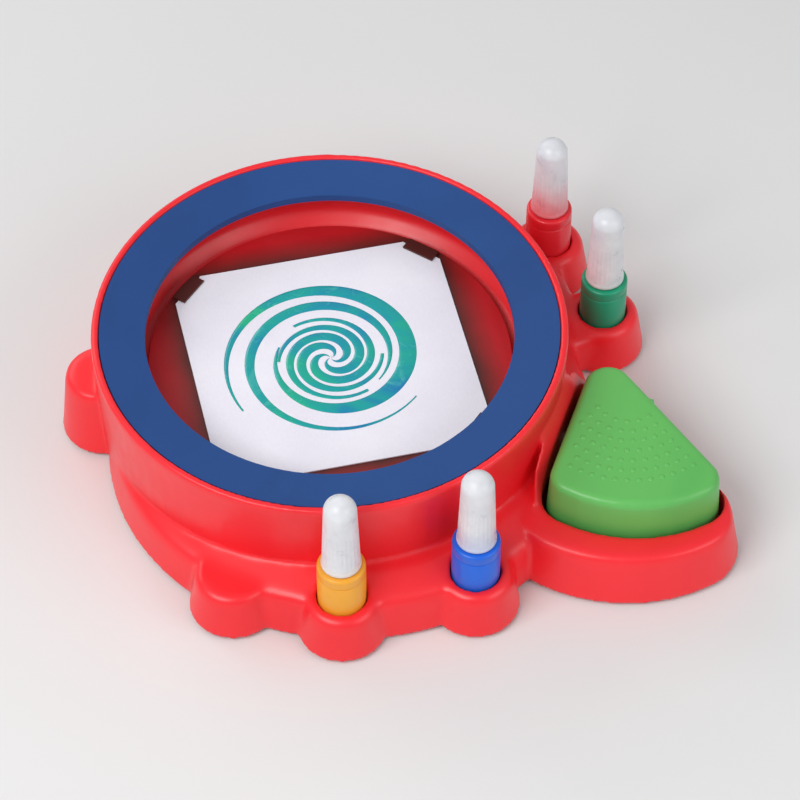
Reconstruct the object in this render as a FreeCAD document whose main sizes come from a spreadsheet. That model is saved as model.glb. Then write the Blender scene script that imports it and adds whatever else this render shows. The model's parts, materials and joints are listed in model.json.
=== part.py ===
import FreeCAD, Part
import os
import re
import Sketcher

# Spin art machine: a round bowl with a turntable that holds a card, driven by a push pad.
# Frame: millimetres, +Z up, origin on the turntable's axis at the plane the feet stand on.
# -Y is the front, +X is the side of the push pad.

doc = FreeCAD.newDocument("spin_art_machine")
sheet = doc.addObject("Spreadsheet::Sheet", "sizes")

# Driving dimensions, in millimetres, degrees or counts
SIZES = {
    # shell
    "wall": 2.6,
    "overshoot": 1,
    "fit_gap": 0.3,
    "press_gap": 0.02,
    "running_gap": 0.06,
    "foot_height": 1.5,
    "foot_radius": 7,
    "foot_inset": 6,
    "pad_foot_x": 18,
    "pad_foot_y": -34,
    "skirt_reach": 4,
    "skirt_lean": 2.5,
    "skirt_slope": 12,
    "skirt_shoulder": 19,
    "skirt_crest": 23.5,
    "skirt_shift_x": 8,
    "skirt_shift_y": -12,
    "skirt_round": 4,
    "back_skirt_radius": 58,
    "back_skirt_shift": 38,
    "drum_lean": 2,
    "drum_foot_inset": 0.5,
    "ledge_width": 7.6,
    "rim_top": 55.5,
    "rim_wall": 2.9,
    "rim_round": 1.2,
    # bowl
    "bowl_radius": 78,
    "bowl_round": 12,
    "floor_top": 30,
    "ledge_depth": 4,
    # splash ring
    "ring_overhang": 9.5,
    "ring_edge": 3.3,
    "ring_drop": 2.2,
    "ring_lip": 1.8,
    "ring_lip_drop": 3,
    "ring_skirt_drop": 3.5,
    "ring_thick": 1.6,
    "ring_web": 0.5,
    # bosses and sockets
    "boss_radius": 13.6,
    "boss_foot_radius": 16.6,
    "boss_top": 20,
    "boss_root_inset": 8,
    "boss_round": 2.4,
    "web_inset": 1.5,
    "saddle_reach": 12.5,
    "saddle_top": 47,
    "saddle_inset": 6,
    "lug_top": 31,
    "lug_inset": 2.5,
    "lug_angle": 181,
    "plain_boss_offset": 5.5,
    "plain_boss_angle": 248.5,
    "socket_radius": 9.2,
    "socket_wall": 2,
    "socket_floor": 1.3,
    "front_gap": 0.65,
    "front_angle": 273,
    "front_right_gap": 4.65,
    "front_right_angle": 301.5,
    "back_right_gap": 13.65,
    "back_right_angle": 20.5,
    "back_gap": 15.65,
    "back_angle": 42,
    # pad housing
    "pad_tip_reach": 15,
    "pad_tip_y": -13,
    "pad_arc_reach": 23.5,
    "pad_arc_y": -20,
    "pad_arc_radius": 42.5,
    "pad_arc_start": 238,
    "pad_arc_end": 300,
    "pad_corner": 10,
    "pad_gap": 1.5,
    "pad_top": 38,
    "pad_bottom": 14.5,
    "pad_wall": 2.5,
    "pad_round": 3,
    "pad_draft": 3,
    "pad_block_reach": 6,
    "pad_block_side": 3,
    "pad_block_end": 4,
    "lobe_margin": 21,
    "lobe_shift_x": -3,
    "lobe_shift_y": -5,
    "lobe_lean": 10,
    "lobe_top": 23,
    "lobe_round": 2,
    # lever and gears
    "tooth_size": 1,
    "tooth_slack": 0.24,
    "tooth_rise": 0.85,
    "tooth_depth": 1.25,
    "tooth_sink": 0.3,
    "tooth_tip_half": 0.38,
    "tooth_root_half": 0.98,
    "sector_teeth": 130,
    "sector_cut_teeth": 4,
    "pinion_teeth": 10,
    "crown_teeth": 18,
    "clutch_teeth": 16,
    "crown_face": 3.6,
    "shaft_height": 15.2,
    "arm_y": -25,
    "arm_thick": 4,
    "arm_rise": 4.8,
    "arm_tail_drop": 2.5,
    "arm_hub_inset": 1,
    "arm_hub_radius": 5.5,
    "arm_hub_length": 13,
    "arm_past_pad": 4,
    "hinge_pin_radius": 2,
    "ear_thick": 3,
    "ear_width": 11,
    "cross_shaft_radius": 1.5,
    "pinion_length": 7,
    "upright_thick": 2.5,
    "upright_gap": 12,
    "crown_disc": 3,
    "crown_tooth_half": 0.58,
    "crown_tooth_taper": 0.45,
    "crown_tooth_height": 2.1,
    "crown_tooth_sink": 0.2,
    "shaft_clip_width": 1.6,
    "shaft_clip_thick": 0.8,
    "shaft_clip_gap": 0.4,
    "shaft_past_frame": 2.5,
    "shaft_past_crown": 0.2,
    "frame_gap": 2.5,
    "frame_foot_reach": 10,
    "frame_foot_thick": 2,
    "frame_screw_inset": 6,
    "frame_screw_side": 1,
    "frame_screw_head": 1.4,
    "frame_rise": 3,
    "frame_drop": 5,
    "frame_nose": 4,
    "spring_past_pad": 7,
    "spring_y": -42,
    "spring_radius": 5.4,
    "spring_wire": 0.9,
    "spring_turns": 6,
    "spring_head": 22,
    "spring_seat_rise": 4,
    "spring_post_margin": 1,
    # spindle and turntable
    "spindle_radius": 2,
    "spindle_lift": 0.5,
    "spindle_end_gap": 0.2,
    "spindle_bearing_rise": 5,
    "spindle_thread": 8,
    "turntable_screw_length": 7,
    "turntable_screw_head": 1.2,
    "turntable_clear": 10,
    "turntable_top": 35.9,
    "turntable_thick": 1.9,
    "turntable_lip": 3.2,
    "turntable_edge": 2,
    "hub_radius": 9,
    "hub_bottom": 31.9,
    "hub_web": 0.7,
    "bush_radius": 4.5,
    "bush_flange_radius": 7,
    "bush_flange": 1.2,
    "bush_clear": 0.4,
    "washer_inset": 1,
    "washer_gap": 0.1,
    "card_half": 51.5,
    "card_corner_inset": 3.5,
    "card_thick": 0.5,
    "card_angle": 13,
    "card_gap": 0.1,
    "card_slack": 0.2,
    "clip_width": 13,
    "clip_reach": 3.2,
    "clip_lip": 0.8,
    "clip_post": 2,
    "clip_root": 0.5,
    "ratchet_radius": 4.4,
    "ratchet_root": 3.4,
    "ratchet_teeth": 8,
    "ratchet_height": 2.2,
    "clutch_flange_radius": 6.5,
    "clutch_flange": 2.2,
    "pawl_gap": 0.2,
    "pawl_half": 1.4,
    "pawl_tip_half": 0.6,
    # bottom cover and fasteners
    "cover_thick": 2.2,
    "cover_inset": 1,
    "column_radius": 4,
    "column_inset": 5,
    "screw_radius": 1.3,
    "screw_head_radius": 3,
    "screw_head": 1,
    "screw_length": 10,
    "screw_sink": 0.2,
    # paint tubes
    "tube_radius": 8.85,
    "tube_shoulder": 38.5,
    "tube_wall": 1,
    "tube_foot_round": 1,
    "tube_shoulder_round": 1.4,
    "neck_radius": 5.2,
    "neck_height": 6,
    "nozzle_tip": 66,
    "nozzle_bore": 0.7,
    "nozzle_end": 1.5,
    "nozzle_plug": 4,
    "nozzle_collar": 1.2,
    "nozzle_step": 1.6,
    "cap_radius": 7.3,
    "cap_top_radius": 6,
    "cap_top": 74.5,
    "cap_round": 5.4,
    "cap_wall": 1,
}

# Rules: sizes and places that follow from the driving dimensions
RULES = {
    "base": "foot_height",
    "ring_seat_radius": "bowl_radius + ledge_width",
    "rim_radius": "ring_seat_radius + rim_wall",
    "waist_radius": "rim_radius - drum_lean",
    "drum_foot_radius": "waist_radius - drum_foot_inset",
    "skirt_radius": "rim_radius + skirt_reach",
    "saddle_radius": "waist_radius + saddle_reach",
    "ring_inner": "bowl_radius - ring_overhang",
    "boss_root": "bowl_radius - boss_root_inset",
    "column_reach": "bowl_radius - column_inset",
    "foot_ring": "bowl_radius - foot_inset",
    "lug_reach": "rim_radius - lug_inset",
    "plain_boss_reach": "rim_radius + plain_boss_offset",
    "front_reach": "rim_radius + tube_radius + front_gap",
    "front_right_reach": "rim_radius + tube_radius + front_right_gap",
    "back_right_reach": "rim_radius + tube_radius + back_right_gap",
    "back_reach": "rim_radius + tube_radius + back_gap",
    "pad_tip_x": "rim_radius + pad_tip_reach",
    "pad_arc_x": "rim_radius + pad_arc_reach",
    "spring_x": "pad_arc_x + spring_past_pad",
    "arm_tail": "pad_arc_x + arm_past_pad - hinge_x",
    "turntable_radius": "bowl_radius - turntable_clear",
    "card_corner": "turntable_radius - card_corner_inset",
    "floor_under": "floor_top - wall",
    "cover_top": "base + cover_thick",
    "ledge": "rim_top - ledge_depth",
    "pinion_radius": "tooth_size * pinion_teeth / 2",
    "sector_radius": "tooth_size * sector_teeth / 2",
    "crown_radius": "tooth_size * crown_teeth / 2",
    "clutch_radius": "tooth_size * clutch_teeth / 2",
    "hinge_x": "sector_radius + pinion_radius",
    "crown_pitch_y": "-clutch_radius",
    "crown_face_y": "crown_pitch_y - tooth_size * tooth_depth",
    "clutch_middle": "shaft_height + crown_radius",
    "clutch_bottom": "clutch_middle - crown_face / 2",
    "flange_bottom": "clutch_bottom - clutch_flange",
    "ratchet_bottom": "flange_bottom - fit_gap - ratchet_height",
    "upright_near_y": "arm_y + upright_gap / 2",
    "upright_far_y": "arm_y - upright_gap / 2",
    "ear_near_y": "arm_y + arm_hub_length / 2 + fit_gap",
    "ear_far_y": "arm_y - arm_hub_length / 2 - fit_gap",
    "spindle_bottom": "cover_top + spindle_lift",
    "hub_seat": "turntable_top - turntable_thick + fit_gap - hub_web",
    "card_bottom": "turntable_top + card_gap",
    "card_side": "card_corner * sqrt(2) - card_half",
    "tube_bottom": "cover_top + socket_floor + fit_gap",
}

for row, (alias, value) in enumerate(SIZES.items(), 1):
    sheet.set("A%d" % row, alias)
    sheet.set("B%d" % row, str(value))
    sheet.setAlias("B%d" % row, alias)
doc.recompute()

MADE = {}


# Expressions and numbers
def bind(text):
    """Write the sheet's name before each driving size and open up each rule."""
    def swap(match):
        word = match.group(0)
        if word in RULES:
            return "(" + bind(RULES[word]) + ")"
        if word in SIZES:
            return "sizes." + word
        return word
    return re.sub(r"[a-z_][a-z_0-9]*", swap, str(text))


def number(text):
    return float(sheet.evalExpression(bind(text).replace("sizes.", "")))


def tie(thing, prop, text):
    thing.setExpression(prop, bind(text))


def place(thing, x="0", y="0", z="0"):
    tie(thing, "Placement.Base.x", x)
    tie(thing, "Placement.Base.y", y)
    tie(thing, "Placement.Base.z", z)
    return thing


def polar(reach, angle):
    return "(%s) * cos(%s)" % (reach, angle), "(%s) * sin(%s)" % (reach, angle)


def turned_point(x, y, angle):
    """A point turned about the origin, as two expressions."""
    return (
        "(%s) * cos(%s) - (%s) * sin(%s)" % (x, angle, y, angle),
        "(%s) * sin(%s) + (%s) * cos(%s)" % (x, angle, y, angle),
    )


# Solids from primitives
def cylinder(name, radius, height, x="0", y="0", z="0"):
    solid = doc.addObject("Part::Cylinder", name)
    tie(solid, "Radius", radius)
    tie(solid, "Height", height)
    return place(solid, x, y, z)


def cone(name, low, high, height, x="0", y="0", z="0"):
    solid = doc.addObject("Part::Cone", name)
    tie(solid, "Radius1", low)
    tie(solid, "Radius2", high)
    tie(solid, "Height", height)
    return place(solid, x, y, z)


def box(name, low, high):
    solid = doc.addObject("Part::Box", name)
    for prop, first, last in zip(("Length", "Width", "Height"), low, high):
        tie(solid, prop, "(%s) - (%s)" % (last, first))
    return place(solid, *low)


def cylinder_along_y(name, radius, start, end, x, z):
    solid = cylinder(name, radius, "(%s) - (%s)" % (end, start), x, start, z)
    solid.Placement.Rotation = FreeCAD.Rotation(FreeCAD.Vector(1, 0, 0), -90)
    return place(solid, x, start, z)


def fuse(name, shapes):
    joined = doc.addObject("Part::MultiFuse", name)
    joined.Shapes = shapes
    joined.Refine = True
    return joined


def cut(name, base, tool):
    left = doc.addObject("Part::Cut", name)
    left.Base = base
    left.Tool = tool
    left.Refine = True
    return left


def group(name, shapes):
    several = doc.addObject("Part::Compound", name)
    several.Links = shapes
    return several


def round_edges(name, base, radius, wanted):
    """Fillet the edges that the test wanted picks."""
    doc.recompute()
    solid = doc.addObject("Part::Fillet", name)
    solid.Base = base
    size = number(radius)
    solid.Edges = [(i, size, size) for i, edge in enumerate(base.Shape.Edges, 1) if wanted(edge)]
    return solid


# Bodies with sketches
def origin_item(body, role):
    return [item for item in body.Origin.OriginFeatures if item.Role == role][0]


def sketch(body, name, role, height="0"):
    flat = body.newObject("Sketcher::SketchObject", name)
    flat.AttachmentSupport = [(origin_item(body, role), "")]
    flat.MapMode = "FlatFace"
    tie(flat, "AttachmentOffset.Base.z", height)
    return flat


def outline(flat, points):
    """A closed outline of straight lines whose corners are tied to expressions."""
    values = [(number(x), number(y)) for x, y in points]
    count = len(points)
    first = flat.GeometryCount
    for i in range(count):
        here = FreeCAD.Vector(values[i][0], values[i][1], 0)
        there = FreeCAD.Vector(values[(i + 1) % count][0], values[(i + 1) % count][1], 0)
        flat.addGeometry(Part.LineSegment(here, there), False)
    for i in range(count):
        flat.addConstraint(Sketcher.Constraint("Coincident", first + i, 2, first + (i + 1) % count, 1))
    for i, (x, y) in enumerate(points):
        for kind, text, value in (("DistanceX", x, values[i][0]), ("DistanceY", y, values[i][1])):
            index = flat.addConstraint(Sketcher.Constraint(kind, -1, 1, first + i, 1, value))
            flat.setExpression("Constraints[%d]" % index, bind(text))


def circle(flat, radius, x="0", y="0"):
    """A circle tied by its radius and its centre."""
    centre = FreeCAD.Vector(number(x), number(y), 0)
    index = flat.GeometryCount
    flat.addGeometry(Part.Circle(centre, FreeCAD.Vector(0, 0, 1), number(radius)), False)
    for kind, text, value in (("DistanceX", x, centre.x), ("DistanceY", y, centre.y)):
        row = flat.addConstraint(Sketcher.Constraint(kind, -1, 1, index, 3, value))
        flat.setExpression("Constraints[%d]" % row, bind(text))
    row = flat.addConstraint(Sketcher.Constraint("Radius", index, number(radius)))
    flat.setExpression("Constraints[%d]" % row, bind(radius))


def revolve(name, points, x="0", y="0", z="0"):
    """A turned body: its half section, as radius and height, spun about its own Z axis."""
    body = doc.addObject("PartDesign::Body", name)
    flat = sketch(body, name + "_section", "XZ_Plane")
    outline(flat, points)
    turned = body.newObject("PartDesign::Revolution", name + "_turned")
    turned.Profile = flat
    turned.ReferenceAxis = (flat, ["V_Axis"])
    turned.Angle = 360
    place(body, x, y, z)
    doc.recompute()
    return body


def pad_outline(body, name, points, bottom, height):
    flat = sketch(body, name + "_sketch", "XY_Plane", bottom)
    outline(flat, points)
    block = body.newObject("PartDesign::Pad", name)
    block.Profile = flat
    tie(block, "Length", height)
    doc.recompute()
    return block


def plate(name, points, bottom, height):
    body = doc.addObject("PartDesign::Body", name)
    pad_outline(body, name + "_block", points, bottom, height)
    return body


def drill(body, name, radius, bottom, depth, x="0", y="0"):
    """A round pocket that starts at bottom and goes up by depth."""
    before = body.Shape.Volume
    flat = sketch(body, name + "_sketch", "XY_Plane", bottom)
    circle(flat, radius, x, y)
    hole = body.newObject("PartDesign::Pocket", name)
    hole.Profile = flat
    hole.Reversed = True
    tie(hole, "Length", depth)
    doc.recompute()
    if body.Shape.Volume >= before:
        raise ValueError("the hole " + name + " removes nothing")
    return hole


def repeat(body, name, feature, count, angle="360"):
    """Copies of a feature round the body's own Z axis."""
    ring = body.newObject("PartDesign::PolarPattern", name)
    ring.Originals = [feature]
    ring.Axis = (origin_item(body, "Z_Axis"), [""])
    tie(ring, "Angle", angle)
    tie(ring, "Occurrences", count)
    body.Tip = ring
    doc.recompute()
    return ring


def lay_along_y(body, x, y, z):
    """Turn a body so that its own Z axis points along +Y, its own X axis stays along +X."""
    body.Placement.Rotation = FreeCAD.Rotation(FreeCAD.Vector(1, 0, 0), -90)
    return place(body, x, y, z)


def keep(name, thing):
    """Name a finished sub-part; its label names its file."""
    thing.Label = name
    MADE[name] = thing
    return thing


# Outlines shared by the pad, its opening and its housing
PAD_ARC_STEPS = 8
PAD_CORE = [("pad_tip_x", "pad_tip_y")]
for step in range(PAD_ARC_STEPS + 1):
    arc_angle = "(pad_arc_start + (pad_arc_end - pad_arc_start) * %d / %d)" % (step, PAD_ARC_STEPS)
    PAD_CORE.append((
        "pad_arc_x + pad_arc_radius * cos(%s)" % arc_angle,
        "pad_arc_y + pad_arc_radius * sin(%s)" % arc_angle,
    ))
pad_core = doc.addObject("Sketcher::SketchObject", "pad_core")
outline(pad_core, PAD_CORE)


def pad_prism(name, margin, bottom, height, lean="0", shift=("0", "0")):
    """A prism round the pad's core outline, margin outside it, leaning inward by lean degrees."""
    grown = doc.addObject("Part::Offset2D", name + "_outline")
    grown.Source = pad_core
    tie(grown, "Value", margin)
    grown.Join = 0
    grown.Fill = False
    prism = doc.addObject("Part::Extrusion", name)
    prism.Base = grown
    prism.DirMode = "Custom"
    prism.Dir = FreeCAD.Vector(0, 0, 1)
    prism.Solid = True
    tie(prism, "LengthFwd", height)
    tie(prism, "TaperAngle", "-(%s)" % lean)
    return place(prism, shift[0], shift[1], bottom)


LOBE_SHIFT = ("lobe_shift_x", "lobe_shift_y")


# Where the bosses stand: name, reach from the axis, angle
TUBE_BOSSES = [
    ("front", "front_reach", "front_angle"),
    ("front_right", "front_right_reach", "front_right_angle"),
    ("back_right", "back_right_reach", "back_right_angle"),
    ("back", "back_reach", "back_angle"),
]
PLAIN_BOSSES = [
    ("lug", "lug_reach", "lug_angle", "lug_top"),
    ("plain_boss", "plain_boss_reach", "plain_boss_angle", "boss_top"),
]
COLUMN_ANGLES = [14, 75, 135, 195, 250, 308]
FOOT_ANGLES = [45, 165, 223, 280]


def web(name, reach, angle, half, bottom, height):
    """A bar that runs out from under the drum."""
    corners = (("boss_root", "-(%s)" % half), (reach, "-(%s)" % half), (reach, half), ("boss_root", half))
    return plate(name, turn_points(corners, angle), bottom, height)


def boss(name, reach, angle, top):
    """A tapering round boss with a lower web back to the drum, both with rounded top edges."""
    x, y = polar(reach, angle)
    post = cone(name + "_cone", "boss_foot_radius", "boss_radius", "%s - base" % top, x, y, "base")
    post = round_edges(name + "_post", post, "boss_round", at_height(top))
    web_top = "%s - web_inset" % top
    bar = web(name + "_web", reach, angle, "boss_radius - web_inset", "base", web_top + " - base")
    bar = round_edges(name + "_web_rounded", bar, "boss_round", at_height(web_top, number("boss_round") * 2))
    return fuse(name, [post, bar])


def boss_hollow(name, reach, angle, top):
    x, y = polar(reach, angle)
    height = "%s - wall" % top
    post = cone(name + "_cone", "boss_foot_radius - wall", "boss_radius - wall", height, x, y)
    bar = web(name + "_bar", reach, angle, "boss_radius - web_inset - wall", "0", height + " - web_inset")
    return fuse(name, [post, bar])


def at_height(level, least=0):
    """A test for round edges lying flat at a height, at least so large."""
    height = number(level)
    def test(edge):
        span = edge.BoundBox
        return abs(span.ZMin - height) < 0.01 and abs(span.ZMax - height) < 0.01 and span.XLength > least
    return test


# The skirt and its bulge at the back right: a leaning wall, a rounded shoulder and a sloping top
def skirt_form(name, radius, x, y):
    turned = revolve(name + "_turned_form", [
        ("0", "base"),
        (radius, "base"),
        ("%s - skirt_lean" % radius, "skirt_shoulder"),
        ("%s - skirt_lean - skirt_slope" % radius, "skirt_crest"),
        ("0", "skirt_crest"),
    ], x, y)
    return round_edges(name + "_rounded", turned, "skirt_round", at_height("skirt_shoulder"))


def skirt_hollow(name, radius, x, y):
    return revolve(name + "_hollow", [
        ("0", "0"),
        ("%s - wall" % radius, "0"),
        ("%s - skirt_lean - wall * 1.1" % radius, "skirt_shoulder - wall"),
        ("%s - skirt_lean - skirt_slope - wall" % radius, "skirt_crest - wall * 1.2"),
        ("0", "skirt_crest - wall * 1.2"),
    ], x, y)


# Upper housing: outer form
def housing_form():
    skirt = skirt_form("skirt", "skirt_radius", "skirt_shift_x", "skirt_shift_y")
    back_skirt = skirt_form("back_skirt", "back_skirt_radius", "back_skirt_shift", "back_skirt_shift")
    drum = cone("drum_form", "drum_foot_radius", "rim_radius", "rim_top - base", "0", "0", "base")
    drum = round_edges("drum_rounded", drum, "rim_round", at_height("rim_top"))
    lobe = pad_prism("lobe_form", "lobe_margin", "base", "lobe_top - base", "lobe_lean", LOBE_SHIFT)
    lobe = round_edges("lobe_rounded", lobe, "lobe_round", at_height("lobe_top"))
    saddle = doc.addObject("Part::Common", "saddle_form")
    saddle.Base = cone(
        "saddle_cone", "saddle_radius", "waist_radius", "saddle_top - skirt_shoulder",
        "0", "0", "skirt_shoulder",
    )
    saddle.Tool = pad_prism("saddle_prism", "lobe_margin - saddle_inset", "skirt_shoulder", "saddle_top")
    solids = [drum, skirt, back_skirt, lobe, saddle]
    for name, reach, angle in TUBE_BOSSES:
        solids.append(boss(name + "_boss", reach, angle, "boss_top"))
    for name, reach, angle, top in PLAIN_BOSSES:
        solids.append(boss(name + "_form", reach, angle, top))
    return fuse("housing_form", solids)


def bowl_corner(outside):
    """The rounded corner between the bowl's wall and its floor, from the wall down to the floor."""
    points = []
    for angle in (0, 30, 60, 90):
        points.append((
            "bowl_radius - bowl_round + (bowl_round + %s) * cos(%d)" % (outside, angle),
            "floor_top + bowl_round - (bowl_round + %s) * sin(%d)" % (outside, angle),
        ))
    return points


# Upper housing: the hollow under the bowl, open at the bottom
def housing_hollow():
    rise = "(rim_radius - waist_radius) / (rim_top - base)"
    centre = revolve("centre_hollow", [
        ("0", "0"),
        ("drum_foot_radius - wall", "0"),
        ("drum_foot_radius - wall + (%s) * (ledge - wall)" % rise, "ledge - wall"),
        ("bowl_radius + wall", "ledge - wall"),
    ] + bowl_corner("wall") + [
        ("0", "floor_under"),
    ])
    skirt = skirt_hollow("skirt", "skirt_radius", "skirt_shift_x", "skirt_shift_y")
    back_skirt = skirt_hollow("back_skirt", "back_skirt_radius", "back_skirt_shift", "back_skirt_shift")
    lobe = pad_prism("lobe_hollow", "lobe_margin - wall", "0", "lobe_top - wall", "lobe_lean", LOBE_SHIFT)
    gate = box(
        "lever_gate",
        ("hinge_x", "ear_far_y - ear_thick - overshoot * 2", "0"),
        ("pad_tip_x", "ear_near_y + ear_thick", "shaft_height + arm_rise + fit_gap * 2"),
    )
    solids = [centre, skirt, back_skirt, lobe, gate]
    for name, reach, angle, top in PLAIN_BOSSES:
        solids.append(boss_hollow(name + "_hollow", reach, angle, top))
    whole = fuse("housing_hollow_whole", solids)
    posts = []
    for name, reach, angle in TUBE_BOSSES:
        x, y = polar(reach, angle)
        posts.append(cylinder(
            name + "_socket_post", "socket_radius + socket_wall", "boss_top - cover_top", x, y, "cover_top",
        ))
    for count, angle in enumerate(COLUMN_ANGLES):
        x, y = polar("column_reach", angle)
        posts.append(cylinder(
            "screw_post_%d" % count, "column_radius", "floor_under + wall / 2 - cover_top", x, y, "cover_top",
        ))
    return cut("housing_hollow", whole, fuse("housing_posts", posts))


def housing_openings():
    bowl = revolve("bowl_hollow", [
        ("0", "floor_top"),
    ] + bowl_corner("0")[::-1] + [
        ("bowl_radius", "ledge"),
        ("ring_seat_radius", "ledge"),
        ("ring_seat_radius", "rim_top + wall"),
        ("0", "rim_top + wall"),
    ])
    solids = [
        bowl,
        cylinder("bush_hole", "bush_radius + press_gap", "wall * 3", "0", "0", "floor_under - wall"),
        pad_prism("pad_opening", "pad_corner + pad_gap", "0", "pad_top"),
    ]
    for name, reach, angle in TUBE_BOSSES:
        x, y = polar(reach, angle)
        solids.append(cylinder(
            name + "_socket", "socket_radius", "pad_top", x, y, "cover_top + socket_floor",
        ))
    for count, angle in enumerate(COLUMN_ANGLES):
        x, y = polar("column_reach", angle)
        solids.append(cylinder(
            "pilot_hole_%d" % count, "screw_radius + press_gap", "screw_length + overshoot",
            x, y, "cover_top - overshoot",
        ))
    return fuse("housing_openings", solids)


def upper_housing():
    shell = cut("housing_shell", housing_form(), housing_hollow())
    return keep("upper_housing", cut("upper_housing_cut", shell, housing_openings()))


# Bottom cover: a plate inside the skirt, with the bearing, the hinge ears and the spring seat
def bottom_cover():
    margin = "wall + fit_gap + cover_inset"
    solids = [
        cylinder(
            "cover_round", "skirt_radius - (%s)" % margin, "cover_thick",
            "skirt_shift_x", "skirt_shift_y", "base",
        ),
        cylinder(
            "cover_back", "back_skirt_radius - (%s)" % margin, "cover_thick",
            "back_skirt_shift", "back_skirt_shift", "base",
        ),
        cylinder("cover_centre", "drum_foot_radius - wall - fit_gap", "cover_thick", "0", "0", "base"),
        pad_prism("cover_lobe", "lobe_margin - (%s)" % margin, "base", "cover_thick", "0", LOBE_SHIFT),
        cylinder(
            "bearing_boss", "spindle_radius + wall", "cover_thick + spindle_bearing_rise", "0", "0", "base",
        ),
        cylinder(
            "spring_seat", "spring_radius - spring_wire", "cover_thick + spring_seat_rise",
            "spring_x", "spring_y", "base",
        ),
    ]
    ears = (("near", "ear_near_y", "ear_near_y + ear_thick"), ("far", "ear_far_y - ear_thick", "ear_far_y"))
    for name, start, end in ears:
        solids.append(box(
            "ear_" + name,
            ("hinge_x - ear_width / 2", start, "base"),
            ("hinge_x + ear_width / 2", end, "shaft_height"),
        ))
        solids.append(cylinder_along_y(
            "ear_top_" + name, "ear_width / 2", start, end, "hinge_x", "shaft_height",
        ))
    holes = [
        cylinder(
            "bearing_hole", "spindle_radius + running_gap", "cover_thick + spindle_bearing_rise",
            "0", "0", "spindle_bottom - spindle_end_gap",
        ),
        cylinder_along_y(
            "ear_bore", "hinge_pin_radius + press_gap",
            "ear_far_y - ear_thick - overshoot", "ear_near_y + ear_thick + overshoot",
            "hinge_x", "shaft_height",
        ),
    ]
    for count, angle in enumerate(COLUMN_ANGLES):
        x, y = polar("column_reach", angle)
        holes.append(cylinder(
            "cover_hole_%d" % count, "screw_radius + fit_gap", "cover_thick + overshoot * 2",
            x, y, "base - overshoot",
        ))
        holes.append(cylinder(
            "cover_sink_%d" % count, "screw_head_radius + fit_gap", "screw_head + overshoot + fit_gap",
            x, y, "base - overshoot",
        ))
    for count, (x, y) in enumerate(FRAME_SCREWS):
        holes.append(cylinder(
            "frame_pilot_%d" % count, "screw_radius + press_gap", "cover_thick + overshoot * 2",
            x, y, "base - overshoot",
        ))
    return keep("bottom_cover", cut("cover_cut", fuse("cover_solid", solids), fuse("cover_holes", holes)))


# Gear frame: two uprights and a back web that carry the cross shaft
FRAME_BACK = "-(pinion_radius + tooth_size + frame_gap)"
FRAME_SCREWS = [
    (FRAME_BACK + " - frame_screw_inset", "upright_near_y - frame_screw_side"),
    (FRAME_BACK + " - frame_screw_inset", "upright_far_y + frame_screw_side"),
]


def gear_frame():
    solids = [
        box(
            "frame_web",
            (FRAME_BACK + " - upright_thick", "upright_far_y - upright_thick", "cover_top"),
            (FRAME_BACK, "upright_near_y + upright_thick", "shaft_height + frame_rise"),
        ),
        box(
            "frame_foot",
            (FRAME_BACK + " - frame_foot_reach", "upright_far_y - upright_thick", "cover_top"),
            (FRAME_BACK, "upright_near_y + upright_thick", "cover_top + frame_foot_thick"),
        ),
    ]
    uprights = (
        ("near", "upright_near_y", "upright_near_y + upright_thick"),
        ("far", "upright_far_y - upright_thick", "upright_far_y"),
    )
    for name, start, end in uprights:
        solids.append(box(
            "upright_" + name,
            (FRAME_BACK, start, "shaft_height - frame_drop"),
            ("frame_nose", end, "shaft_height + frame_rise"),
        ))
    bores = [cylinder_along_y(
        "frame_bore", "cross_shaft_radius + running_gap",
        "upright_far_y - upright_thick - overshoot", "upright_near_y + upright_thick + overshoot",
        "0", "shaft_height",
    )]
    for count, (x, y) in enumerate(FRAME_SCREWS):
        bores.append(cylinder(
            "frame_hole_%d" % count, "screw_radius + fit_gap", "frame_foot_thick + overshoot * 2",
            x, y, "cover_top - overshoot",
        ))
    return keep("gear_frame", cut("frame_cut", fuse("frame_solid", solids), fuse("frame_bores", bores)))


# Splash ring: a shallow funnel that drops into the rim and catches the flung paint
def splash_ring():
    outer = "ring_seat_radius - fit_gap"
    inside = "bowl_radius - fit_gap"
    low = "ledge + ring_edge - ring_drop"
    ring = revolve("splash_ring_body", [
        (outer, "ledge"),
        (outer, "ledge + ring_edge"),
        ("ring_inner", low),
        ("ring_inner", low + " - ring_lip_drop"),
        ("ring_inner + ring_lip", low + " - ring_lip_drop"),
        ("ring_inner + ring_lip", low + " - ring_thick"),
        (inside + " - ring_thick", "ledge - ring_web"),
        (inside + " - ring_thick", "ledge - ring_skirt_drop"),
        (inside, "ledge - ring_skirt_drop"),
        (inside, "ledge"),
    ])
    keep("splash_ring", ring)


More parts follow.
